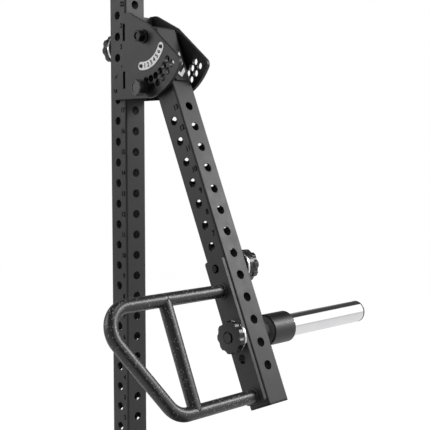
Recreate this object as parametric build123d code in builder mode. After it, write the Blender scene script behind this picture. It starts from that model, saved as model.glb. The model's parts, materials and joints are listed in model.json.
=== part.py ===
"""Rack-mounted lever arm on a section of perforated upright, millimetres, +Z up.

The origin is the centre of the upright's bottom end. +X is the side the arm hangs on,
-Y is the side the handle stands out to, +Y the side the weight sleeve stands out to.
"""

import os
from math import cos, radians, sin, sqrt

from build123d import *

# ---------------------------------------------------------------- driving dimensions
tube = 60.0  # outside width of the upright and of the arm
tube_wall = 3.0
tube_corner = 5.0
hole_d = 20.0
hole_pitch = 50.0

post_length = 1200.0

pivot_x = 117.2
pivot_z = 1014.3
arm_angle = 23.97  # arm from vertical at rest on the stop pin

plate_t = 8.0
plate_gap = 76.0  # clear width between the two side plates
plate_arc_r = 141.5
plate_bottom = -140.0
plate_corner_r = 15.0
slot_x = -72.2  # middle of the cross plate, from the pivot
tab_depth = 3.0  # how far the cross plate's tabs reach into the side plates
cross_back = 41.0
cross_front = 49.0

stop_rows = (100.0, 118.0)
stop_angles = tuple(5.0 + 10.0 * i for i in range(6))
stop_hole_d = 16.8
stop_pin_d = 16.6

scale_r = 67.0
scale_width = 19.0
scale_ends = (-7.0, 66.0)

pivot_bolt_d = 16.0
pivot_nut_across = 24.0
nut_flange_r = 16.0
nut_flange_t = 5.0
nut_t = 16.0
hub_d = 50.0
hub_length = 72.0
bush_d = 26.0

arm_top = -7.0  # measured down the arm from the pivot
arm_bottom = 866.0
front_hole_first = 188.5
side_hole_first = 212.5
arm_hole_count = 13

handle_plate_top = 541.0
handle_plate_bottom = 858.0
handle_plate_width = 56.0
bar_d = 28.5
bar_wall = 3.0
upper_bar = 611.8
lower_bar = 841.2
handle_outer_upper = 383.3
handle_outer_lower = 249.3
bend_r = 48.0
strut_out = 200.9

sleeve_s = 712.5  # sleeve and near knob axis, down the arm
upper_knob_s = 562.5
plate_spare_s = 762.5
sleeve_d = 50.0
sleeve_start = 54.0
collar_end = 118.0
sleeve_end = 385.0
collar_d = 69.0
collar_seat_d = 49.0  # the sleeve is turned down where the collar sits

stud_d = 18.0
knob_r = 35.0
knob_skirt_r = 33.0
knob_flange_r = 34.0
knob_flange_t = 5.5
knob_lobe_t = 17.0
knob_lobes = 9
knob_dome_r = 250.0  # radius of the slightly domed face
near_knob_h = 22.5
far_knob_h = 33.5
rear_knob_h = 26.0
rear_knob_z = 1000.0

half = tube / 2
plate_in = plate_gap / 2
plate_out = plate_in + plate_t

# ---------------------------------------------------------------- planes
pivot = Vector(pivot_x, 0, pivot_z)
down_arm = Vector(sin(radians(arm_angle)), 0, -cos(radians(arm_angle)))
arm_front = Vector(cos(radians(arm_angle)), 0, sin(radians(arm_angle)))
near_side = Vector(0, -1, 0)

# x runs down the arm, y out of its front face, z towards the handle side
arm_side = Plane(origin=pivot, x_dir=down_arm, z_dir=near_side)
# x runs out of the arm's front face, z down the arm
arm_section = Plane(origin=pivot, x_dir=arm_front, z_dir=down_arm)
# x runs down the arm, z out of its front face
arm_face = Plane(origin=pivot, x_dir=down_arm, z_dir=arm_front)
# x runs down the arm, y towards the handle side
handle_plane = Plane(origin=pivot, x_dir=down_arm, z_dir=-arm_front)
# x along +X, y up, z towards the handle side, origin on the pivot
bracket_side = Plane(origin=pivot, x_dir=(1, 0, 0), z_dir=near_side)


def polar(radius, degrees_from_down):
    """Point on the bracket, measured from straight down towards the arm side."""
    a = radians(degrees_from_down)
    return (radius * sin(a), -radius * cos(a))


def save(part, name):
    part.label = name
    export_step(part, f"parts/{name}.step")


os.makedirs("parts", exist_ok=True)

# ---------------------------------------------------------------- upright
post_front_holes = [(0, hole_pitch * i) for i in range(1, 24)]
post_side_holes = [(0, hole_pitch * i + hole_pitch / 2) for i in range(24)]

with BuildPart() as upright:
    with BuildSketch(Plane.XY):
        RectangleRounded(tube, tube, tube_corner)
        RectangleRounded(tube - 2 * tube_wall, tube - 2 * tube_wall, 2.0, mode=Mode.SUBTRACT)
    extrude(amount=post_length)
    with BuildSketch(Plane.YZ):
        with Locations(*post_front_holes):
            Circle(hole_d / 2)
    extrude(amount=tube, both=True, mode=Mode.SUBTRACT)
    with BuildSketch(Plane.XZ):
        with Locations(*post_side_holes):
            Circle(hole_d / 2)
    extrude(amount=tube, both=True, mode=Mode.SUBTRACT)
save(upright.part, "upright")

# ---------------------------------------------------------------- bracket side plates
arc_start = polar(plate_arc_r, 64.3)
arc_mid = polar(plate_arc_r, 36.0)
arc_end = (sqrt(plate_arc_r**2 - plate_bottom**2), plate_bottom)
ear_left = -119.0
ear_top = -107.0
plate_left = -79.0
ear_screw = (-106.2, -118.8)
scale_screws = [polar(scale_r, a) for a in scale_ends]


def side_plate(offset, label_holes):
    """One bracket side plate, its inner or outer face at the given offset, extruded outwards."""
    with BuildPart() as plate:
        with BuildSketch(bracket_side.offset(offset)):
            with BuildLine():
                Polyline(
                    arc_end,
                    (ear_left, plate_bottom),
                    (ear_left, ear_top),
                    (plate_left, -62.0),
                    (plate_left, 60.0),
                    (-56.0, 60.0),
                    (20.0, 24.0),
                    arc_start,
                )
                ThreePointArc(arc_start, arc_mid, arc_end)
            face = make_face()
            fillet(face.vertices().sort_by_distance(Vertex(*arc_start))[0], plate_corner_r)
        extrude(amount=plate_t)
        with BuildSketch(bracket_side.offset(offset)):
            Circle(pivot_bolt_d / 2 + 0.05)
            with Locations((slot_x, 16.0), (slot_x, -95.0)):
                Rectangle(plate_t + 0.2, 40.2)
            with Locations(*[polar(r, a) for r in stop_rows for a in stop_angles]):
                Circle(stop_hole_d / 2)
            with Locations(ear_screw):
                Circle(3.1)
            if label_holes:
                with Locations(*scale_screws):
                    Circle(2.1)
        extrude(amount=plate_t, mode=Mode.SUBTRACT)
    return plate.part


save(side_plate(plate_in, True), "side_plate_near")
save(side_plate(-plate_out, False), "side_plate_far")

# ---------------------------------------------------------------- cross plate and liners
cross_plane = Plane(origin=(cross_back, 0, pivot_z), x_dir=(0, 1, 0), z_dir=(1, 0, 0))
clamp_z = rear_knob_z - pivot_z

with BuildPart() as cross_plate:
    with BuildSketch(cross_plane):
        with Locations((0, -39.0)):
            Rectangle(plate_gap, 190.0)
        with Locations((0, 16.0), (0, -95.0)):
            Rectangle(2 * (plate_in + tab_depth), 40.0)
        with Locations((0, clamp_z)):
            Circle(stud_d / 2 + 0.05, mode=Mode.SUBTRACT)
    extrude(amount=cross_front - cross_back)
save(cross_plate.part, "cross_plate")

with BuildPart() as liner_strip:
    with BuildSketch(cross_plane):
        with Locations((0, -39.0)):
            RectangleRounded(tube, 184.0, 3.0)
        with Locations((0, clamp_z)):
            Circle(stud_d / 2 + 0.5, mode=Mode.SUBTRACT)
    extrude(amount=-(cross_back - half))
save(liner_strip.part, "liner_strip")


def ear_pad(offset):
    """Plastic pad between an ear of the bracket and the upright's side."""
    with BuildPart() as pad:
        with BuildSketch(bracket_side.offset(offset)):
            with BuildLine():
                Polyline(
                    (ear_left + 1.5, plate_bottom + 1.5),
                    (half - pivot_x - 1.5, plate_bottom + 1.5),
                    (half - pivot_x - 1.5, -73.0),
                    (ear_left + 1.5, ear_top - 0.6),
                    close=True,
                )
            make_face()
            with Locations(ear_screw):
                Circle(2.6, mode=Mode.SUBTRACT)
        extrude(amount=plate_in - half)
    return pad.part


save(ear_pad(half), "ear_pad_near")
save(ear_pad(-plate_in), "ear_pad_far")

with BuildPart() as ear_screws:
    with BuildSketch(bracket_side.offset(half + 1.5)):
        with Locations(ear_screw):
            Circle(2.5)
    extrude(amount=plate_out - half - 1.5)
    with BuildSketch(bracket_side.offset(plate_out)):
        with Locations(ear_screw):
            Circle(5.0)
            RegularPolygon(2.2, 6, mode=Mode.SUBTRACT)
    extrude(amount=2.4)
    mirror(about=Plane.XZ)
save(ear_screws.part, "ear_screws")

# ---------------------------------------------------------------- scale label
with BuildPart() as scale_label:
    with BuildSketch(bracket_side.offset(plate_out)):
        with BuildLine():
            ThreePointArc(
                polar(scale_r + scale_width / 2, scale_ends[0]),
                polar(scale_r + scale_width / 2, sum(scale_ends) / 2),
                polar(scale_r + scale_width / 2, scale_ends[1]),
            )
            ThreePointArc(
                polar(scale_r - scale_width / 2, scale_ends[0]),
                polar(scale_r - scale_width / 2, sum(scale_ends) / 2),
                polar(scale_r - scale_width / 2, scale_ends[1]),
            )
            for end in scale_ends:
                Line(polar(scale_r + scale_width / 2, end), polar(scale_r - scale_width / 2, end))
        make_face()
        with Locations(*scale_screws):
            Circle(scale_width / 2)
        with Locations(*scale_screws):
            Circle(2.1, mode=Mode.SUBTRACT)
    extrude(amount=1.0)
save(scale_label.part, "scale_label")

with BuildPart() as scale_screws_part:
    with BuildSketch(bracket_side.offset(plate_out - 6.0)):
        with Locations(*scale_screws):
            Circle(2.0)
    extrude(amount=7.0)
    with BuildSketch(bracket_side.offset(plate_out + 1.0)):
        with Locations(*scale_screws):
            Circle(4.2)
            RegularPolygon(1.8, 6, mode=Mode.SUBTRACT)
    extrude(amount=2.2)
save(scale_screws_part.part, "scale_screws")

# ---------------------------------------------------------------- pivot bolt, nut and washer
with BuildPart() as pivot_bolt:
    with BuildSketch(bracket_side.offset(-plate_out - 3.0)):
        Circle(pivot_bolt_d / 2)
    extrude(amount=2 * plate_out + 3.0 + nut_flange_t + nut_t - 2.5)
    with BuildSketch(bracket_side.offset(-plate_out - 3.0)):
        RegularPolygon(pivot_nut_across / 2, 6, major_radius=False)
    extrude(amount=-12.5)
    chamfer(pivot_bolt.faces().sort_by(Axis.Y)[0].edges(), 1.5)
save(pivot_bolt.part, "pivot_bolt")

with BuildPart() as pivot_nut:
    with BuildSketch(bracket_side.offset(plate_out)):
        Circle(nut_flange_r)
    extrude(amount=nut_flange_t)
    chamfer(pivot_nut.faces().sort_by(Axis.Y)[0].edges(), 1.5)
    with BuildSketch(bracket_side.offset(plate_out + nut_flange_t)):
        RegularPolygon(pivot_nut_across / 2, 6, major_radius=False)
    extrude(amount=nut_t)
    chamfer(pivot_nut.faces().sort_by(Axis.Y)[0].edges(), 1.2)
    with BuildSketch(bracket_side.offset(plate_out)):
        Circle(pivot_bolt_d / 2 + 0.05)
    extrude(amount=nut_flange_t + nut_t, mode=Mode.SUBTRACT)
save(pivot_nut.part, "pivot_nut")

with BuildPart() as pivot_washer:
    with BuildSketch(bracket_side.offset(-plate_out - 3.0)):
        Circle(18.5)
        Circle(pivot_bolt_d / 2 + 0.05, mode=Mode.SUBTRACT)
    extrude(amount=3.0)
save(pivot_washer.part, "pivot_washer")

# ---------------------------------------------------------------- stop pin
stop_at = polar(stop_rows[1], stop_angles[0])
grip_across = 35.0

with BuildPart() as stop_pin:
    with BuildSketch(bracket_side.offset(-plate_out - 5.0)):
        with Locations(stop_at):
            Circle(stop_pin_d / 2)
    extrude(amount=2 * plate_out + 20.0)
    chamfer(stop_pin.faces().sort_by(Axis.Y)[-1].edges(), 2.0)
save(stop_pin.part, "stop_pin")

with BuildPart() as pin_grip:
    with BuildSketch(bracket_side.offset(plate_out + 0.1)):
        with Locations(stop_at):
            Circle(14.0)
            Circle(stop_pin_d / 2, mode=Mode.SUBTRACT)
    extrude(amount=11.9)
    with BuildSketch(bracket_side.offset(plate_out + 12.0)):
        with Locations(stop_at):
            RegularPolygon(grip_across / 2, 8, major_radius=False)
            Circle(stop_pin_d / 2, mode=Mode.SUBTRACT)
    extrude(amount=3.0)
    with BuildSketch(bracket_side.offset(plate_out + 15.0)):
        with Locations(stop_at):
            RegularPolygon(grip_across / 2, 8, major_radius=False)
    extrude(amount=18.0)
    chamfer(pin_grip.faces().sort_by(Axis.Y)[0].edges(), 1.8)
    with BuildSketch(bracket_side.offset(plate_out + 33.0)):
        with Locations(stop_at):
            Circle(grip_across / 2 - 4.5)
    extrude(amount=-1.2, mode=Mode.SUBTRACT)
save(pin_grip.part, "pin_grip")

# ---------------------------------------------------------------- lever arm
arm_front_holes = [(front_hole_first + hole_pitch * i, 0) for i in range(arm_hole_count)]
arm_side_holes = [(side_hole_first + hole_pitch * i, 0) for i in range(arm_hole_count)]

with BuildPart() as arm_tube:
    with BuildSketch(arm_section.offset(arm_top)):
        RectangleRounded(tube, tube, tube_corner)
        RectangleRounded(tube - 2 * tube_wall, tube - 2 * tube_wall, 2.0, mode=Mode.SUBTRACT)
    extrude(amount=arm_bottom - arm_top)
    with BuildSketch(arm_face):
        with Locations(*arm_front_holes):
            Circle(hole_d / 2)
    extrude(amount=tube, both=True, mode=Mode.SUBTRACT)
    with BuildSketch(arm_side):
        Circle(hub_d / 2)
        with Locations(*arm_side_holes):
            Circle(hole_d / 2)
    extrude(amount=tube, both=True, mode=Mode.SUBTRACT)
save(arm_tube.part, "arm_tube")

with BuildPart() as pivot_hub:
    with BuildSketch(arm_side.offset(-hub_length / 2)):
        Circle(hub_d / 2)
        Circle(bush_d / 2, mode=Mode.SUBTRACT)
    extrude(amount=hub_length)
save(pivot_hub.part, "pivot_hub")


def bushing(side):
    """Flanged bushing pressed into one end of the hub, its flange running on the side plate."""
    with BuildPart() as bush:
        with BuildSketch(arm_side.offset(side * hub_length / 2)):
            Circle(19.0)
            Circle(pivot_bolt_d / 2 + 0.05, mode=Mode.SUBTRACT)
        extrude(amount=side * 1.9)
        with BuildSketch(arm_side.offset(side * hub_length / 2)):
            Circle(bush_d / 2)
            Circle(pivot_bolt_d / 2 + 0.05, mode=Mode.SUBTRACT)
        extrude(amount=-side * 24.0)
    return bush.part


save(bushing(1), "bushing_near")
save(bushing(-1), "bushing_far")

with BuildPart() as arm_end_cap:
    with BuildSketch(arm_section.offset(arm_bottom)):
        RectangleRounded(tube, tube, tube_corner)
    extrude(amount=3.0)
    chamfer(arm_end_cap.faces().sort_by(Axis.Z)[0].edges(), 1.0)
    with BuildSketch(arm_section.offset(arm_bottom)):
        RectangleRounded(tube - 2 * tube_wall - 0.2, tube - 2 * tube_wall - 0.2, 2.0)
        Rectangle(tube - 4 * tube_wall, tube - 4 * tube_wall, mode=Mode.SUBTRACT)
    extrude(amount=-16.0)
save(arm_end_cap.part, "arm_end_cap")

# ---------------------------------------------------------------- badge on the arm's front
badge_mid = 88.0
badge_length = 76.0
badge_width = 40.0
badge_t = 5.0

with BuildPart() as badge_plate:
    with BuildSketch(arm_face.offset(half)):
        with Locations((badge_mid, 0)):
            RectangleRounded(badge_length, badge_width, 5.0)
    extrude(amount=badge_t)
    chamfer(badge_plate.faces().sort_by(Axis(pivot, arm_front))[-1].edges(), 1.0)
save(badge_plate.part, "badge_plate")

with BuildPart() as badge_mark:
    for step in range(3):
        tip = badge_mid + 30.0 - 20.0 * step
        with BuildSketch(arm_face.offset(half + badge_t)):
            with BuildLine():
                Polyline(
                    (tip, 0),
                    (tip - 15.0, 15.0),
                    (tip - 25.0, 15.0),
                    (tip - 10.0, 0),
                    (tip - 25.0, -15.0),
                    (tip - 15.0, -15.0),
                    close=True,
                )
            make_face()
        extrude(amount=0.8)
save(badge_mark.part, "badge_mark")

# ---------------------------------------------------------------- removable handle
with BuildPart() as handle_plate:
    with BuildSketch(arm_side.offset(half)):
        with Locations(((handle_plate_top + handle_plate_bottom) / 2, 0)):
            RectangleRounded(handle_plate_bottom - handle_plate_top, handle_plate_width, 6.0)
        with Locations((upper_knob_s, 0), (sleeve_s, 0), (plate_spare_s, 0)):
            Circle(hole_d / 2, mode=Mode.SUBTRACT)
    extrude(amount=plate_t)
save(handle_plate.part, "handle_plate")

with BuildPart() as handle_bar:
    with BuildLine(handle_plane) as handle_path:
        FilletPolyline(
            (upper_bar, plate_in),
            (upper_bar, handle_outer_upper),
            (lower_bar, handle_outer_lower),
            (lower_bar, plate_in),
            radius=bend_r,
        )
    with BuildSketch(arm_side.offset(plate_in)):
        with Locations((upper_bar, 0)):
            Circle(bar_d / 2)
            Circle(bar_d / 2 - bar_wall, mode=Mode.SUBTRACT)
    sweep(path=handle_path.wires()[0])
save(handle_bar.part, "handle_bar")

with BuildPart() as handle_strut:
    with BuildSketch(arm_section.offset(upper_bar)):
        with Locations((0, strut_out)):
            Circle(bar_d / 2)
            Circle(bar_d / 2 - bar_wall, mode=Mode.SUBTRACT)
    extrude(amount=lower_bar - upper_bar)
    with BuildSketch(arm_side.offset(strut_out - bar_d)):
        with Locations((upper_bar, 0), (lower_bar, 0)):
            Circle(bar_d / 2 + 0.02)
    extrude(amount=2 * bar_d, mode=Mode.SUBTRACT)
save(handle_strut.part, "handle_strut")

# ---------------------------------------------------------------- weight sleeve
hub_flange_r = 30.8
hub_flange_t = 2.0

with BuildPart() as sleeve_hub:
    with BuildSketch(arm_side.offset(-half)):
        with Locations((sleeve_s, 0)):
            Circle(17.0)
    extrude(amount=-(sleeve_start - half))
    with BuildSketch(arm_side.offset(-sleeve_start + hub_flange_t)):
        with Locations((sleeve_s, 0)):
            Circle(hub_flange_r)
    extrude(amount=-hub_flange_t)
    with BuildSketch(arm_side.offset(-half)):
        with Locations((sleeve_s, 0)):
            Circle(stud_d / 2)
    extrude(amount=-(sleeve_start - half), mode=Mode.SUBTRACT)
save(sleeve_hub.part, "sleeve_hub")

stud_seat = 20.0  # solid root of the sleeve, around the stud
sleeve_wall = 5.0
cap_t = 8.0
lead_in = 5.0  # tapered end that guides a plate's hole onto the sleeve
lead_in_angle = 31.0

with BuildPart() as sleeve_tube:
    with BuildSketch(arm_side.offset(-sleeve_start)):
        with Locations((sleeve_s, 0)):
            Circle(collar_seat_d / 2)
    extrude(amount=-(collar_end + 1.0 - sleeve_start))
    with BuildSketch(arm_side.offset(-collar_end - 1.0)):
        with Locations((sleeve_s, 0)):
            Circle(sleeve_d / 2)
    extrude(amount=-(sleeve_end - cap_t - collar_end - 1.0))
    with BuildSketch(arm_side.offset(-sleeve_start)):
        with Locations((sleeve_s, 0)):
            Circle(stud_d / 2)
    extrude(amount=-stud_seat, mode=Mode.SUBTRACT)
    with BuildSketch(arm_side.offset(-sleeve_start - stud_seat)):
        with Locations((sleeve_s, 0)):
            Circle(sleeve_d / 2 - sleeve_wall)
    extrude(amount=-(sleeve_end - sleeve_start), mode=Mode.SUBTRACT)
save(sleeve_tube.part, "sleeve_tube")

with BuildPart() as sleeve_cap:
    with BuildSketch(arm_side.offset(-sleeve_end + lead_in)):
        with Locations((sleeve_s, 0)):
            Circle(sleeve_d / 2)
    extrude(amount=cap_t - lead_in)
    with BuildSketch(arm_side.offset(-sleeve_end + lead_in)):
        with Locations((sleeve_s, 0)):
            Circle(sleeve_d / 2)
    extrude(amount=-lead_in, taper=lead_in_angle)
    with BuildSketch(arm_side.offset(-sleeve_end + cap_t)):
        with Locations((sleeve_s, 0)):
            Circle(sleeve_d / 2 - sleeve_wall - 0.1)
    extrude(amount=12.0)
save(sleeve_cap.part, "sleeve_cap")

with BuildPart() as stop_collar:
    with BuildSketch(arm_side.offset(-sleeve_start)):
        with Locations((sleeve_s, 0)):
            Circle(collar_d / 2)
            Circle(collar_seat_d / 2 + 0.05, mode=Mode.SUBTRACT)
    extrude(amount=-(collar_end - sleeve_start))
    with BuildSketch(arm_side.offset(-sleeve_start)):
        with Locations((sleeve_s, 0)):
            Circle(collar_d / 2)
            Circle(hub_flange_r + 0.2, mode=Mode.SUBTRACT)
    extrude(amount=hub_flange_t + 0.5)
    chamfer(stop_collar.edges().filter_by(GeomType.CIRCLE).group_by(SortBy.RADIUS)[-1], 1.2)
save(stop_collar.part, "stop_collar")

with BuildPart() as sleeve_stud:
    with BuildSketch(arm_side.offset(-sleeve_start - stud_seat)):
        with Locations((sleeve_s, 0)):
            Circle(stud_d / 2)
    extrude(amount=sleeve_start + stud_seat + plate_in + near_knob_h - 8.0)
save(sleeve_stud.part, "sleeve_stud")


# ---------------------------------------------------------------- star knobs
def star_knob(seat, height):
    """Lobed knob body on its flange, with a blind bore and a button in its face."""
    skirt = height - knob_flange_t - knob_lobe_t
    along = Axis(seat.origin, seat.z_dir)
    with BuildPart() as knob:
        with BuildSketch(seat.offset(knob_flange_t + skirt)):
            Circle(knob_r)
            with PolarLocations(knob_r + 8.0, knob_lobes, start_angle=20.0):
                Circle(11.2, mode=Mode.SUBTRACT)
            fillet(vertices(), 3.0)
        extrude(amount=knob_lobe_t)
        fillet(faces().sort_by(along)[-1].edges(), 2.2)
        fillet(faces().sort_by(along)[0].edges(), 3.0)
        if skirt > 0:
            with BuildSketch(seat.offset(knob_flange_t)):
                Circle(knob_skirt_r)
            extrude(amount=skirt + 5.0)
            fillet(faces().sort_by(along)[0].edges(), 1.5)
        with Locations(seat.origin + seat.z_dir * (height - knob_dome_r)):
            Sphere(knob_dome_r, mode=Mode.INTERSECT)
        with BuildSketch(seat.offset(height)):
            Circle(13.5)
            Circle(10.5, mode=Mode.SUBTRACT)
        extrude(amount=-4.0, mode=Mode.SUBTRACT)
        with BuildSketch(seat.offset(height - 1.0)):
            Circle(10.5)
        extrude(amount=2.5)
        with BuildSketch(seat):
            Circle(stud_d / 2 + 0.05)
        extrude(amount=height - 7.0, mode=Mode.SUBTRACT)
    return knob.part


def knob_flange(seat):
    """Polished metal flange under a star knob."""
    with BuildPart() as flange:
        with BuildSketch(seat):
            Circle(knob_flange_r)
            Circle(stud_d / 2 + 0.05, mode=Mode.SUBTRACT)
        extrude(amount=knob_flange_t)
        chamfer(flange.edges().filter_by(GeomType.CIRCLE).group_by(SortBy.RADIUS)[-1], 1.0)
    return flange.part


near_seat = Plane(origin=pivot + down_arm * sleeve_s + near_side * (plate_in + 0.1), z_dir=near_side)
far_seat = Plane(origin=pivot + down_arm * upper_knob_s - near_side * (half + 0.1), z_dir=-near_side)
rear_seat = Plane(origin=(-half - 0.1, 0, rear_knob_z), z_dir=(-1, 0, 0))

save(star_knob(near_seat, near_knob_h), "near_knob")
save(knob_flange(near_seat), "near_knob_flange")
save(star_knob(far_seat, far_knob_h), "far_knob")
save(knob_flange(far_seat), "far_knob_flange")
save(star_knob(rear_seat, rear_knob_h), "rear_knob")
save(knob_flange(rear_seat), "rear_knob_flange")

bolt_tip_d = 14.0
bolt_tip_out = 3.5  # how far the tip stands out of the handle plate

with BuildPart() as far_knob_bolt:
    with BuildSketch(arm_side.offset(-half - far_knob_h + 8.0)):
        with Locations((upper_knob_s, 0)):
            Circle(stud_d / 2)
    extrude(amount=2 * half + far_knob_h - 8.0 + 1.0)
    with BuildSketch(arm_side.offset(half + 1.0)):
        with Locations((upper_knob_s, 0)):
            Circle(bolt_tip_d / 2)
    extrude(amount=plate_t - 1.0 + bolt_tip_out)
    chamfer(far_knob_bolt.faces().sort_by(Axis.Y)[0].edges(), 1.0)
save(far_knob_bolt.part, "far_knob_bolt")

with BuildPart() as clamp_bolt:
    with BuildSketch(Plane(origin=(-half - rear_knob_h + 8.0, 0, rear_knob_z), z_dir=(1, 0, 0))):
        Circle(stud_d / 2)
    extrude(amount=half + rear_knob_h - 8.0 + cross_front)
    with BuildSketch(Plane(origin=(cross_front, 0, rear_knob_z), z_dir=(1, 0, 0))):
        Circle(16.0)
    extrude(amount=7.0)
    chamfer(clamp_bolt.faces().sort_by(Axis.X)[-1].edges(), 2.5)
save(clamp_bolt.part, "clamp_bolt")
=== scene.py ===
import json
import math
from collections import namedtuple

import bmesh
import bpy
from mathutils import Matrix, Vector


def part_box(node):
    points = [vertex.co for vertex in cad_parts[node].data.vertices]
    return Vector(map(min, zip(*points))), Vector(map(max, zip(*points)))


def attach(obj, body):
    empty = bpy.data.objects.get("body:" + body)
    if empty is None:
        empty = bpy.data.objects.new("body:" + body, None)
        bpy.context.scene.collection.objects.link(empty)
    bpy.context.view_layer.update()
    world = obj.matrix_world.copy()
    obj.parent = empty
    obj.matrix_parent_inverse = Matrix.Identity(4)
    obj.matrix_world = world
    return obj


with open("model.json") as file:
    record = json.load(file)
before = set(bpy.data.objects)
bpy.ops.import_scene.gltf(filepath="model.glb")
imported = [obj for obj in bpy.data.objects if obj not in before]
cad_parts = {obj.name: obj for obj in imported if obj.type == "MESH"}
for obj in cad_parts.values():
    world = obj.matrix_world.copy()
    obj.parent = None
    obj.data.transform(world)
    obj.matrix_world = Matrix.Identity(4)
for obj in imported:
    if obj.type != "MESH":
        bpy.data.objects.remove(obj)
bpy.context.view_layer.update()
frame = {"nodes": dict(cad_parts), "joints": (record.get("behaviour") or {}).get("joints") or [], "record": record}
NODES = frame["nodes"]

# ------------------------------------------------------------------ directions and places, in metres
RIGHT = Vector((1, 0, 0))
UP = Vector((0, 0, 1))
NEAR = Vector((0, -1, 0))  # the handle's side

PIVOT = Vector(next(joint["pos_m"] for joint in frame["joints"] if joint["name"] == "arm_swing"))
ARM_ANGLE = math.radians(23.97)  # between the hanging arm and the vertical
DOWN = Vector((math.sin(ARM_ANGLE), 0, -math.cos(ARM_ANGLE)))  # down the arm
FRONT = Vector((math.cos(ARM_ANGLE), 0, math.sin(ARM_ANGLE)))  # out of its front face

HOLE_PITCH = 0.05
TUBE_FACE = 0.030  # from the middle of the upright or the arm to its side
FIGURE_ASIDE = 0.0185  # from a hole's middle line to its figure's


def on_arm(s, n, out):
    """Point s down the arm, n towards its front and out towards the handle side."""
    return PIVOT + DOWN * s + FRONT * n + NEAR * out


# ------------------------------------------------------------------ shader graphs
class Graph:
    """Adds and wires the nodes of one shader tree. A value may be a number, a colour or a socket."""

    def __init__(self, tree):
        self.tree = tree

    def node(self, kind, **settings):
        made = self.tree.nodes.new(kind)
        for key, value in settings.items():
            setattr(made, key, value)
        return made

    def feed(self, target, value):
        if isinstance(value, (int, float)):
            target.default_value = value
        elif isinstance(value, tuple):
            target.default_value = (*value, 1)
        else:
            self.tree.links.new(value, target)

    def math(self, operation, a, b):
        made = self.node("ShaderNodeMath", operation=operation)
        self.feed(made.inputs[0], a)
        self.feed(made.inputs[1], b)
        return made.outputs[0]

    def mix(self, factor, a, b, blend="MIX"):
        made = self.node("ShaderNodeMix", data_type="RGBA", blend_type=blend)
        for socket, value in ((made.inputs[0], factor), (made.inputs[6], a), (made.inputs[7], b)):
            self.feed(socket, value)
        return made.outputs[2]

    def ramp(self, factor, stops):
        """Grey ramp through (position, value) stops given in rising order."""
        made = self.node("ShaderNodeValToRGB")
        elements = made.color_ramp.elements
        elements[0].position, elements[-1].position = stops[0][0], stops[-1][0]
        for position, _ in stops[1:-1]:
            elements.new(position)
        for element, (_, value) in zip(elements, stops):
            element.color = (value, value, value, 1)
        self.feed(made.inputs["Fac"], factor)
        return made.outputs["Color"]

    def signed_ramp(self, factor, stops):
        """The same for a factor and positions from -1 to 1."""
        half = self.math("MULTIPLY", self.math("ADD", factor, 1.0), 0.5)
        return self.ramp(half, [((position + 1) / 2, value) for position, value in stops])

    def first_channel(self, color):
        split = self.node("ShaderNodeSeparateColor")
        self.feed(split.inputs[0], color)
        return split.outputs[0]

    def dot(self, vector, fixed):
        made = self.node("ShaderNodeVectorMath", operation="DOT_PRODUCT")
        made.inputs[1].default_value = fixed
        self.feed(made.inputs[0], vector)
        return made.outputs["Value"]


class Finish(Graph):
    """Principled material in the object's own coordinates."""

    SOCKETS = {
        "color": "Base Color",
        "metallic": "Metallic",
        "roughness": "Roughness",
        "normal": "Normal",
        "specular": "Specular IOR Level",
    }

    def __init__(self, name):
        self.material = bpy.data.materials.new(name)
        self.material.use_nodes = True
        super().__init__(self.material.node_tree)
        self.bsdf = self.tree.nodes["Principled BSDF"]
        self.coords = self.node("ShaderNodeTexCoord").outputs["Object"]

    def noise(self, scale, detail=3.0, roughness=0.5, stretch=None):
        vector = self.coords
        if stretch:
            mapping = self.node("ShaderNodeMapping")
            mapping.inputs["Scale"].default_value = stretch
            self.feed(mapping.inputs["Vector"], vector)
            vector = mapping.outputs["Vector"]
        texture = self.node("ShaderNodeTexNoise")
        texture.inputs["Scale"].default_value = scale
        texture.inputs["Detail"].default_value = detail
        texture.inputs["Roughness"].default_value = roughness
        self.feed(texture.inputs["Vector"], vector)
        return texture.outputs["Fac"]

    def varied(self, base, spread, pattern):
        """Base plus spread times the pattern."""
        return self.math("ADD", self.math("MULTIPLY", pattern, spread), base)

    def edge(self, radius):
        """Rounded-edge normal, and how much it turns away from the flat one."""
        bevel = self.node("ShaderNodeBevel", samples=4)
        bevel.inputs["Radius"].default_value = radius
        flat = self.node("ShaderNodeNewGeometry").outputs["Normal"]
        alike = self.node("ShaderNodeVectorMath", operation="DOT_PRODUCT")
        self.feed(alike.inputs[0], bevel.outputs[0])
        self.feed(alike.inputs[1], flat)
        return bevel.outputs[0], self.math("SUBTRACT", 1.0, alike.outputs["Value"])

    def bump(self, height, strength, distance, normal=None):
        made = self.node("ShaderNodeBump")
        made.inputs["Strength"].default_value = strength
        made.inputs["Distance"].default_value = distance
        self.feed(made.inputs["Height"], height)
        if normal is not None:
            self.feed(made.inputs["Normal"], normal)
        return made.outputs["Normal"]

    def glow(self, strength):
        """White light of its own, for the floor's backdrop brightness and as painted light on the badge mark."""
        self.feed(self.bsdf.inputs["Emission Color"], (1, 1, 1))
        self.feed(self.bsdf.inputs["Emission Strength"], strength)

    def set(self, **inputs):
        for key, value in inputs.items():
            self.feed(self.bsdf.inputs[self.SOCKETS[key]], value)
        return self.material


def grey(value, tint=0.0):
    """Grey, a little bluer by the tint."""
    return (value, value, value * (1 + tint))


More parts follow.
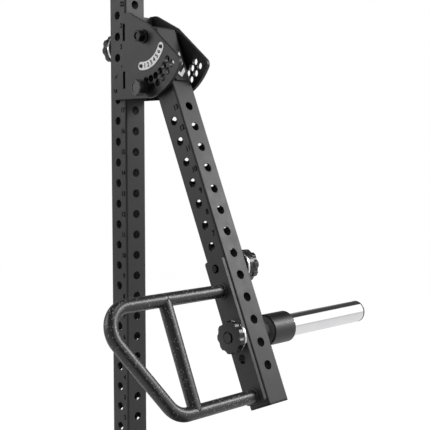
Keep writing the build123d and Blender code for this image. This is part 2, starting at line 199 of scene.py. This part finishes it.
# ------------------------------------------------------------------ materials
def powder_coat(name, level):
    """Satin powder coat: faint mottling, orange peel and paler edges, partly wear and partly painted edge
    highlight.
    """
    m = Finish(name)
    cloud = m.ramp(m.noise(9, 4), [(0.3, 0.0), (0.7, 1.0)])
    body = m.mix(cloud, grey(level * 0.93, 0.03), grey(level * 1.07, 0.03))
    peel = m.noise(1500, 2)
    fine = m.ramp(m.noise(2600, 1), [(0.45, 0.0), (0.75, 1.0)])
    flecked = m.mix(m.math("MULTIPLY", fine, 0.18), body, grey(level * 1.9, 0.03))
    rounded, turned = m.edge(0.0014)
    return m.set(
        # paler edges: partly wear, partly a painted highlight on the rounding
        color=m.mix(m.math("MULTIPLY", turned, 0.9), flecked, grey(level * 1.8, 0.03)),
        roughness=m.varied(0.36, 0.16, m.noise(40, 4)),
        normal=m.bump(peel, 0.10, 0.0004, rounded),
        specular=0.45,
    )


def textured_grip(name):
    """Coarse anti-slip coat: near black and glossy, with dense small pale grains."""
    m = Finish(name)
    grain = m.noise(420, 3, 0.6)
    grit = m.noise(1100, 2)
    cells = m.node("ShaderNodeTexVoronoi", feature="F1")
    cells.inputs["Scale"].default_value = 190
    m.feed(cells.inputs["Vector"], m.coords)
    picked = m.math("GREATER_THAN", m.first_channel(cells.outputs["Color"]), 0.32)
    speck = m.math("MULTIPLY", m.math("LESS_THAN", cells.outputs["Distance"], 0.26), picked)
    base = m.mix(m.ramp(grain, [(0.38, 0.0), (0.62, 1.0)]), grey(0.010), grey(0.046))
    return m.set(
        color=m.mix(m.math("MULTIPLY", speck, 0.9), base, grey(0.42)),
        roughness=m.varied(0.28, 0.14, grit),
        normal=m.bump(m.varied(grain, 0.35, grit), 0.14, 0.0005),
        specular=0.8,
    )


def moulded(name, level, rough=0.5, grain=1100, strength=0.16, edge=0.0010, shine=0.5):
    """Moulded plastic with a fine spark-eroded grain."""
    m = Finish(name)
    cloud = m.ramp(m.noise(25, 3), [(0.3, 0.0), (0.7, 1.0)])
    body = m.mix(cloud, grey(level * 0.9), grey(level * 1.1))
    rounded, turned = m.edge(edge)
    return m.set(
        # paler on its edges: a painted edge highlight
        color=m.mix(m.math("MULTIPLY", turned, 0.6), body, grey(level * 1.7)),
        roughness=m.varied(rough - 0.07, 0.14, m.noise(120, 3)),
        normal=m.bump(m.noise(grain, 2), strength, 0.0004, rounded),
        specular=shine,
    )


def polished(name, level, rough):
    """Bright metal with faint turning marks round the part and hazy patches."""
    m = Finish(name)
    haze = m.ramp(m.noise(30, 4), [(0.35, 0.0), (0.7, 1.0)])
    scuff = m.noise(60, 3, 0.6, stretch=(40, 1, 40))
    rounded, _ = m.edge(0.0006)
    return m.set(
        color=m.mix(haze, grey(level, 0.01), grey(level * 0.95, 0.02)),
        metallic=1.0,
        roughness=m.varied(rough - 0.02, 0.05, scuff),
        normal=m.bump(scuff, 0.015, 0.0002, rounded),
    )


def oxide_steel(name, level, rough):
    """Black oxide steel: dull metal, paler on its edges."""
    m = Finish(name)
    rounded, turned = m.edge(0.0008)
    patches = m.ramp(m.noise(160, 4), [(0.35, 0.0), (0.7, 1.0)])
    body = m.mix(patches, grey(level * 0.8), grey(level * 1.3))
    return m.set(
        color=m.mix(m.math("MULTIPLY", turned, 1.2), body, grey(0.20)),
        metallic=0.75,
        roughness=m.varied(rough - 0.1, 0.2, m.noise(300, 3)),
        normal=m.bump(m.noise(1200, 2), 0.08, 0.0002, rounded),
    )


def brushed_plate(name, level):
    """Silver scale plate, brushed along its length."""
    m = Finish(name)
    brush = m.noise(220, 3, 0.6, stretch=(1, 6, 14))
    rounded, _ = m.edge(0.0004)
    return m.set(
        color=m.mix(m.ramp(brush, [(0.3, 0.0), (0.7, 1.0)]), grey(level * 0.92), grey(level)),
        metallic=0.25,
        roughness=m.varied(0.35, 0.15, brush),
        normal=m.bump(brush, 0.05, 0.0001, rounded),
    )


def sintered(name):
    """Porous sintered bronze."""
    m = Finish(name)
    pores = m.ramp(m.noise(1800, 2), [(0.35, 0.0), (0.55, 1.0)])
    return m.set(
        color=m.mix(pores, (0.16, 0.10, 0.05), (0.48, 0.32, 0.15)),
        metallic=0.9,
        roughness=m.varied(0.55, -0.15, pores),
        normal=m.bump(pores, 0.2, 0.0002),
    )


def printed(name, level, shine=0.5, glow=0.0):
    """Ink, or painted shade for a cut figure, slightly mottled; a glow, which is painted light, keeps white ink
    bright in shade.
    """
    m = Finish(name)
    ink = m.ramp(m.noise(1400, 2), [(0.3, 0.0), (0.7, 1.0)])
    m.glow(glow)
    return m.set(
        color=m.mix(ink, grey(level * 0.8), grey(level)),
        roughness=m.varied(0.45, 0.1, ink),
        normal=m.bump(ink, 0.05, 0.0001),
        specular=shine,
    )


MATERIALS = {
    "rack_powder": powder_coat("rack_powder_coat", 0.052),
    "bracket_powder": powder_coat("bracket_powder_coat", 0.043),
    "grip_texture": textured_grip("grip_coat"),
    "liner_plastic": moulded("liner_slip_plastic", 0.018, 0.55, 700, 0.10),
    "black_steel": oxide_steel("black_oxide_steel", 0.022, 0.30),
    "pin_steel": polished("ground_pin_steel", 0.55, 0.22),
    "label_metal": brushed_plate("scale_plate_silver", 0.95),
    "knob_plastic": moulded("knob_moulded_nylon", 0.030, 0.26, 1100, 0.06, edge=0.0014),
    "collar_plastic": moulded("collar_moulded_plastic", 0.009, 0.42, 900, 0.04, shine=0.78),
    "cap_plastic": moulded("cap_moulded_plastic", 0.014, 0.42),
    # grey nylon hub, made paler than its own tone as painted light, since it sits in the arm's shade
    "hub_nylon": moulded("hub_grey_nylon_painted_light", 0.45, 0.5, 900, 0.08),
    "chrome": polished("chrome_plate", 0.90, 0.045),
    "bronze": sintered("bush_bronze"),
    # the white badge mark glows a little: painted light that keeps it bright in shade
    "mark_white": printed("badge_white_enamel_painted_glow", 0.95, glow=0.3),
}

for row in frame["record"]["subparts"]:
    slots = NODES[row["node"]].data.materials
    slots.clear()
    slots.append(MATERIALS[row["material_slot"]])


# ------------------------------------------------------------------ pieces added to the CAD
def add_piece(name, mesh, body, material):
    """Object that rides on a body and takes its finish from a material slot."""
    mesh.name = name
    mesh.materials.clear()
    mesh.materials.append(material)
    piece = bpy.data.objects.new(name, mesh)
    bpy.context.scene.collection.objects.link(piece)
    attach(piece, body)


def add_ring_piece(name, rings, slot, smooth=True):
    """Piece of the arm: a closed surface through a closed row of equal rings of points."""
    bm = bmesh.new()
    made = [[bm.verts.new(point) for point in ring] for ring in rings]
    for here, after in zip(made, made[1:] + made[:1]):
        for k, vertex in enumerate(here):
            previous = k - 1
            bm.faces.new((here[previous], vertex, after[k], after[previous]))
    bmesh.ops.recalc_face_normals(bm, faces=bm.faces)
    mesh = bpy.data.meshes.new(name)
    bm.to_mesh(mesh)
    bm.free()
    if smooth:
        mesh.shade_smooth()
    add_piece(name, mesh, "arm", MATERIALS[slot])


def turns(count):
    """Angles of a full turn in equal steps."""
    return [2 * math.pi * i / count for i in range(count)]


# weld beads of the handle: round a bar on the handle plate, and where the strut meets a bar
BAR_R = 0.01425
UPPER_BAR, LOWER_BAR = 0.6118, 0.8412  # bars' distance down the arm from the pivot
STRUT_OUT = 0.2009
PLATE_FACE = 0.038  # near face of the handle plate
PLATE_BEAD_R, STRUT_BEAD_R = 0.0026, 0.0014
OFF_PLATE, OFF_BAR = 0.0006, 0.0008  # a plate bead's middle line from the plate and from the bar
RIPPLE = 0.10
POINTS_PER_RIPPLE = 4
BEAD_SIDES = 8


def bead(path, radius):
    """Rippled round bead along a path of (centre, side direction, up direction)."""
    rings = []
    for i, (centre, side, up) in enumerate(path):
        size = radius * (1 + RIPPLE * math.cos(2 * math.pi * i / POINTS_PER_RIPPLE))
        rings.append([centre + (side * math.cos(a) + up * math.sin(a)) * size for a in turns(BEAD_SIDES)])
    return rings


def ring_path(centre, axis, radius, count):
    x = axis.orthogonal().normalized()
    y = axis.cross(x)
    sides = [x * math.cos(a) + y * math.sin(a) for a in turns(count)]
    return [(centre + side * radius, side, axis) for side in sides]


def saddle_path(bar_s, way, count):
    """Curve where the strut meets a bar of the same size; way is 1 below the bar and -1 above it."""
    path = []
    for a in turns(count):
        n, out = math.cos(a), math.sin(a)
        centre = on_arm(bar_s + way * BAR_R * abs(out), BAR_R * n, STRUT_OUT + BAR_R * out)
        path.append((centre, FRONT * n + NEAR * out, DOWN))
    return path


for label, bar_s, way in (("upper", UPPER_BAR, 1), ("lower", LOWER_BAR, -1)):
    at_plate = ring_path(on_arm(bar_s, 0, PLATE_FACE + OFF_PLATE), NEAR, BAR_R + OFF_BAR, count=72)
    add_ring_piece(f"weld_{label}_bar", bead(at_plate, PLATE_BEAD_R), "rack_powder")
    at_strut = saddle_path(bar_s, way, count=80)
    add_ring_piece(f"weld_{label}_strut", bead(at_strut, STRUT_BEAD_R), "grip_texture")

# thin black hoop on the sleeve where its tapered end begins
LEAD_IN = 0.005
HOOP_WIDTH = 0.003
HOOP_PROUD, HOOP_SUNK = 0.0003, 0.0005
sleeve_low, sleeve_high = (Vector(corner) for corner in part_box("sleeve_cap"))
sleeve_radius = (sleeve_high.z - sleeve_low.z) / 2
hoop_at = (sleeve_low + sleeve_high) / 2
hoop_at.y = sleeve_high.y - LEAD_IN - HOOP_WIDTH / 2
hoop_section = (
    (-HOOP_SUNK, -HOOP_WIDTH / 2),
    (HOOP_PROUD, -HOOP_WIDTH / 2),
    (HOOP_PROUD, HOOP_WIDTH / 2),
    (-HOOP_SUNK, HOOP_WIDTH / 2),
)
hoop_rings = [
    [centre + side * rise + axis * along for rise, along in hoop_section]
    for centre, side, axis in ring_path(hoop_at, NEAR, sleeve_radius, count=96)
]
add_ring_piece("sleeve_end_hoop", hoop_rings, "collar_plastic", smooth=False)


# ------------------------------------------------------------------ figures on the scale and beside the holes
# weight thickens a figure's strokes, and lift is how far it stands off its face
Style = namedtuple("Style", "height weight lift material slot")
CAP_HEIGHT = 0.7  # of a figure, against the font's size


def add_figure(name, text, centre, right, up, style, body):
    """Flat raised figure with its baseline along right."""
    curve = bpy.data.curves.new(name, "FONT")
    curve.body = text
    curve.size = style.height / CAP_HEIGHT
    curve.align_x = "CENTER"
    curve.align_y = "CENTER"
    curve.extrude = style.lift / 2
    curve.offset = style.weight
    curve.resolution_u = 3
    holder = bpy.data.objects.new(name + "_text", curve)
    bpy.context.scene.collection.objects.link(holder)
    bpy.context.view_layer.update()
    mesh = bpy.data.meshes.new_from_object(holder)
    bpy.data.objects.remove(holder)
    out = right.cross(up)
    place = Matrix((right, up, out)).transposed().to_4x4()
    place.translation = centre + out * (style.lift / 2)
    mesh.transform(place)
    add_piece(name, mesh, body, style.material)


SCALE_FIGURES = 6
SCALE_START, SCALE_STEP = math.radians(5), math.radians(10)
SCALE_R = 0.067  # round the pivot
SCALE_FACE = 0.047
scale_print = Style(0.0100, 0.0004, 0.0003, printed("scale_black_ink", 0.012), "cap_plastic")
for index in range(SCALE_FIGURES):
    angle = SCALE_START + SCALE_STEP * index
    inward = UP * math.cos(angle) - RIGHT * math.sin(angle)
    along = RIGHT * math.cos(angle) + UP * math.sin(angle)
    centre = PIVOT - inward * SCALE_R + NEAR * SCALE_FACE
    add_figure(f"scale_figure_{index + 1}", str(index + 1), centre, along, inward, scale_print, "frame")

# figures cut in the near side of the upright and of the arm, beside their holes: thin raised near-black sheets,
# painted shade standing in for the dark inside of each cut
painted_cut_shade = printed("cut_figure_shadow", 0.003, shine=0.05)
upright_cut = Style(0.0105, 0.0007, 0.0002, painted_cut_shade, "rack_powder")
arm_cut = Style(0.0115, 0.0007, 0.0002, painted_cut_shade, "rack_powder")

UPRIGHT_HOLES = 23
COVERED_LOW, COVERED_HIGH = 0.88, 0.92  # the near ear's screw head leaves no room for a figure here
for hole in range(1, UPRIGHT_HOLES + 1):
    height = HOLE_PITCH * hole
    if COVERED_LOW < height < COVERED_HIGH:
        continue
    centre = RIGHT * FIGURE_ASIDE + NEAR * TUBE_FACE + UP * height
    add_figure(f"upright_figure_{hole}", str(hole), centre, RIGHT, UP, upright_cut, "frame")

ARM_FIGURES = 7
ARM_TOP_FIGURE = 13  # they count down from here
ARM_TOP_HOLE = 0.1875  # its distance down the arm from the pivot
for index in range(ARM_FIGURES):
    centre = on_arm(ARM_TOP_HOLE + HOLE_PITCH * index, FIGURE_ASIDE, TUBE_FACE)
    text = str(ARM_TOP_FIGURE - index)
    add_figure(f"arm_figure_{index + 1}", text, centre, FRONT, -DOWN, arm_cut, "arm")

# ------------------------------------------------------------------ floor
BRIGHT_SIDE = (0.69, 0.72, 0.0)  # level direction from the object towards the studio's bright side
FLOOR_HALF = 30.0
FLOOR_DROP = 0.001  # below the upright's foot
FADE_END = 6.0  # the floor fades to white towards this distance
FLOOR_SEEN_NEAR, FLOOR_SEEN_FAR = 0.86, 1.0  # own brightness to the camera, near the object and far away
FLOOR_IN_REFLECTIONS = 0.64
# that brightness against the turn towards the bright side; the gap outlines the sleeve's tapered end
FLOOR_SIDES = ((-1.0, 1.0), (0.0, 1.0), (0.15, 0.08), (0.57, 0.08), (0.65, 1.0), (1.0, 1.0))


def studio_floor():
    """Pale floor: lit by the lamps near the object, fading into the white background."""
    m = Finish("studio_floor")
    reach = m.node("ShaderNodeVectorMath", operation="LENGTH")
    m.feed(reach.inputs[0], m.coords)
    fade = m.ramp(m.math("DIVIDE", reach.outputs["Value"], FADE_END), [(0.05, 0.0), (0.6, 1.0)])
    level = m.node("ShaderNodeVectorMath", operation="NORMALIZE")
    m.feed(level.inputs[0], m.coords)
    mirrored = m.first_channel(m.signed_ramp(m.dot(level.outputs[0], BRIGHT_SIDE), FLOOR_SIDES))
    seen = m.first_channel(m.mix(fade, grey(FLOOR_SEEN_NEAR), grey(FLOOR_SEEN_FAR)))
    rays = m.node("ShaderNodeLightPath").outputs
    to_camera = m.math("MULTIPLY", rays["Is Camera Ray"], seen)
    to_mirror = m.math("MULTIPLY", rays["Is Glossy Ray"], m.math("MULTIPLY", mirrored, FLOOR_IN_REFLECTIONS))
    m.glow(m.math("ADD", to_camera, to_mirror))
    return m.set(
        color=m.mix(fade, m.mix(m.noise(3), grey(0.20), grey(0.22)), grey(0.0)),
        roughness=0.9,
        specular=0.0,
    )


floor_mesh = bpy.data.meshes.new("floor")
bm = bmesh.new()
bmesh.ops.create_grid(bm, x_segments=1, y_segments=1, size=FLOOR_HALF)
bm.to_mesh(floor_mesh)
bm.free()
floor_mesh.materials.append(studio_floor())
floor = bpy.data.objects.new("floor", floor_mesh)
floor.location = (0, 0, -FLOOR_DROP)
bpy.context.scene.collection.objects.link(floor)

# ------------------------------------------------------------------ surroundings
# brightness against the sine of the elevation, and against the turn towards the bright side
CEILING = ((-1.0, 0.60), (-0.16, 0.60), (-0.06, 1.0), (0.665, 1.0), (0.685, 0.035), (1.0, 0.03))
SIDES = ((-1.0, 0.28), (-0.5, 0.28), (0.1, 0.22), (0.22, 0.05), (0.57, 0.05), (0.60, 1.0), (1.0, 1.0))
WORLD_AS_LIGHT, WORLD_IN_REFLECTIONS = 0.25, 1.15


def studio_world():
    """White to the camera; lights and reflections see a bright right-hand side and a dark ceiling."""
    world = bpy.data.worlds.new("studio")
    world.use_nodes = True
    world.node_tree.nodes.clear()
    g = Graph(world.node_tree)
    direction = g.node("ShaderNodeTexCoord").outputs["Generated"]
    rise = g.signed_ramp(g.dot(direction, UP), CEILING)
    swing = g.signed_ramp(g.dot(direction, BRIGHT_SIDE), SIDES)
    rays = g.node("ShaderNodeLightPath").outputs
    strength = g.node("ShaderNodeMapRange")
    strength.inputs["To Min"].default_value = WORLD_AS_LIGHT
    strength.inputs["To Max"].default_value = WORLD_IN_REFLECTIONS
    g.feed(strength.inputs["Value"], rays["Is Glossy Ray"])
    lit = g.node("ShaderNodeBackground")
    g.feed(lit.inputs["Strength"], strength.outputs[0])
    g.feed(lit.inputs["Color"], g.mix(1, rise, swing, "MULTIPLY"))
    seen = g.node("ShaderNodeBackground")
    g.feed(seen.inputs["Color"], grey(1))
    choose = g.node("ShaderNodeMixShader")
    g.feed(choose.inputs["Fac"], rays["Is Camera Ray"])
    g.feed(choose.inputs[1], lit.outputs[0])
    g.feed(choose.inputs[2], seen.outputs[0])
    g.feed(g.node("ShaderNodeOutputWorld").inputs["Surface"], choose.outputs[0])
    return world


bpy.context.scene.world = studio_world()


# ------------------------------------------------------------------ lamps and camera
def softbox(name, place, aim, size, radiance, mirrored=True):
    """Rectangular softbox: power follows from size and brightness, and reflections may leave it out."""
    data = bpy.data.lights.new(name, "AREA")
    data.shape = "RECTANGLE"
    data.size, data.size_y = size
    data.energy = math.pi * radiance * size[0] * size[1]
    lamp = bpy.data.objects.new(name, data)
    lamp.location = place
    lamp.rotation_euler = (Vector(aim) - Vector(place)).to_track_quat("-Z", "Y").to_euler()
    lamp.visible_camera = False
    lamp.visible_glossy = mirrored
    bpy.context.scene.collection.objects.link(lamp)


softbox("over_softbox", (1.2, 0.2, 3.1), (0.2, 0.0, 0.8), (1.4, 1.4), 2.4)
softbox("near_softbox", (-1.6, -2.5, 2.0), (0.1, 0.0, 0.75), (2.4, 2.4), 2.2)
softbox("side_softbox", (2.1, 2.0, 2.0), (0.2, 0.0, 0.6), (1.2, 0.8), 12.0)
softbox("far_fill", (-0.3, 3.2, 2.1), (0.1, 0.0, 0.7), (2.4, 2.4), 2.2, mirrored=False)
softbox("back_fill", (-3.0, 0.2, 2.0), (0.1, 0.0, 0.7), (2.4, 2.4), 2.2, mirrored=False)

CAMERA_PLACE = (1.705, -1.352, 0.762)
CAMERA_AZIMUTH, CAMERA_DIP = math.radians(46.0), math.radians(4.38)
LENS, SENSOR = 74.15, 36  # mm
camera_data = bpy.data.cameras.new("camera")
camera_data.lens = LENS
camera_data.sensor_width = SENSOR
camera_data.clip_end = 100
camera = bpy.data.objects.new("camera", camera_data)
camera.location = CAMERA_PLACE
camera.rotation_euler = (math.pi / 2 - CAMERA_DIP, 0, CAMERA_AZIMUTH)
bpy.context.scene.collection.objects.link(camera)
bpy.context.scene.camera = camera
bpy.context.scene.view_settings.view_transform = "Standard"
